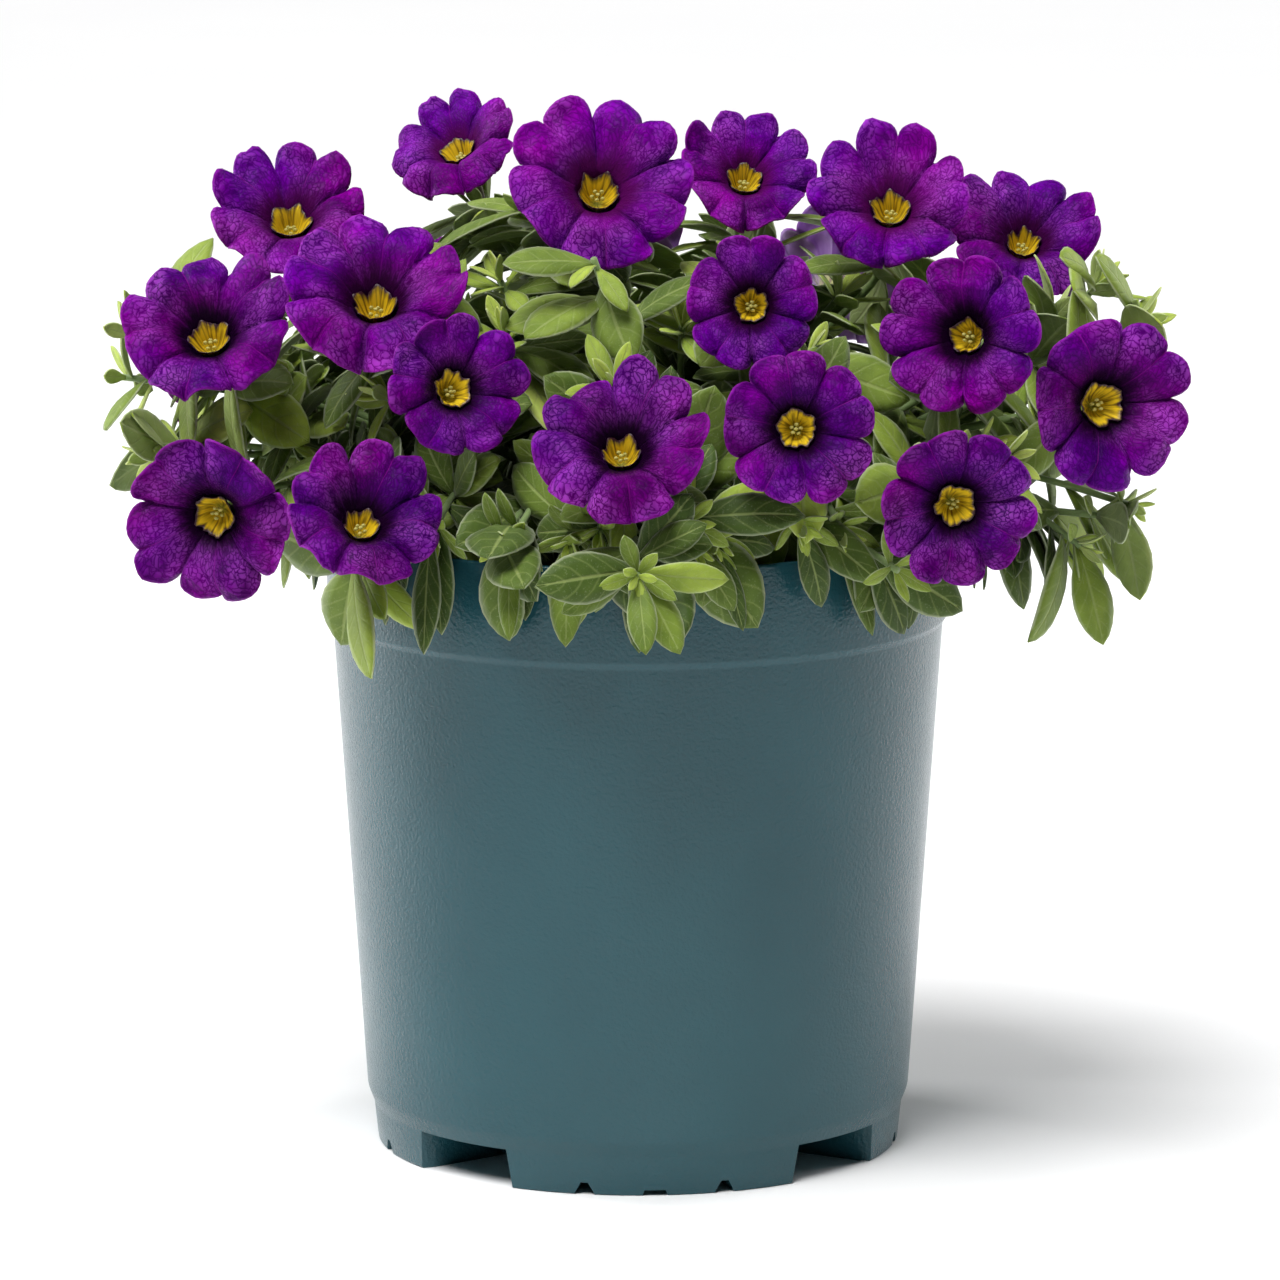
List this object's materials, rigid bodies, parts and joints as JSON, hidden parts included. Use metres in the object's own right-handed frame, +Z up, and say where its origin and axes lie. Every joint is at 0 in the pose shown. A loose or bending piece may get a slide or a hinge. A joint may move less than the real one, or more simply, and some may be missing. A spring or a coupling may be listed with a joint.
{
  "type": "potted calibrachoa",
  "caption": "Flowering calibrachoa in a plain plastic nursery pot: a mound of violet trumpet blooms with yellow eyes over leafy stems, on a footed round pot.",
  "frame": {"origin": "middle of the pot's underside, on the pot's axis, at the height that its feet stand on", "axes": "+Z up along the pot's axis, -Y towards the front of the plant, +X to the right as seen from the front"},
  "size_m": [0.2055, 0.1853, 0.2037],
  "materials": {
    "teal_plastic": "satin",
    "potting_soil": "matte",
    "violet_petal": "satin",
    "yellow_eye": "matte",
    "green_leaf": "matte"
  },
  "bodies": {
    "root": {"pot": "teal_plastic", "soil": "potting_soil", "bloom_01": "violet_petal", "bloom_02": "violet_petal", "bloom_03": "violet_petal", "bloom_04": "violet_petal", "bloom_05": "violet_petal", "bloom_06": "violet_petal", "bloom_07": "violet_petal", "bloom_08": "violet_petal", "bloom_09": "violet_petal", "bloom_10": "violet_petal", "bloom_11": "violet_petal", "bloom_12": "violet_petal", "bloom_13": "violet_petal", "bloom_14": "violet_petal", "bloom_15": "violet_petal", "bloom_16": "violet_petal", "bloom_17": "violet_petal", "bloom_18": "violet_petal", "bloom_19": "violet_petal", "bloom_20": "violet_petal", "bloom_21": "violet_petal", "bloom_22": "violet_petal", "bloom_23": "violet_petal", "eye_01": "yellow_eye", "eye_02": "yellow_eye", "eye_03": "yellow_eye", "eye_04": "yellow_eye", "eye_05": "yellow_eye", "eye_06": "yellow_eye", "eye_07": "yellow_eye", "eye_08": "yellow_eye", "eye_09": "yellow_eye", "eye_10": "yellow_eye", "eye_11": "yellow_eye", "eye_12": "yellow_eye", "eye_13": "yellow_eye", "eye_14": "yellow_eye", "eye_15": "yellow_eye", "eye_16": "yellow_eye", "eye_17": "yellow_eye", "eye_18": "yellow_eye", "eye_19": "yellow_eye", "eye_20": "yellow_eye", "eye_21": "yellow_eye", "eye_22": "yellow_eye", "eye_23": "yellow_eye", "leafy_stem_01": "green_leaf", "leafy_stem_02": "green_leaf", "leafy_stem_03": "green_leaf", "leafy_stem_04": "green_leaf", "leafy_stem_05": "green_leaf", "leafy_stem_06": "green_leaf", "leafy_stem_07": "green_leaf", "leafy_stem_08": "green_leaf", "leafy_stem_09": "green_leaf", "leafy_stem_10": "green_leaf", "leafy_stem_11": "green_leaf", "leafy_stem_12": "green_leaf"}
  },
  "joints": []
}
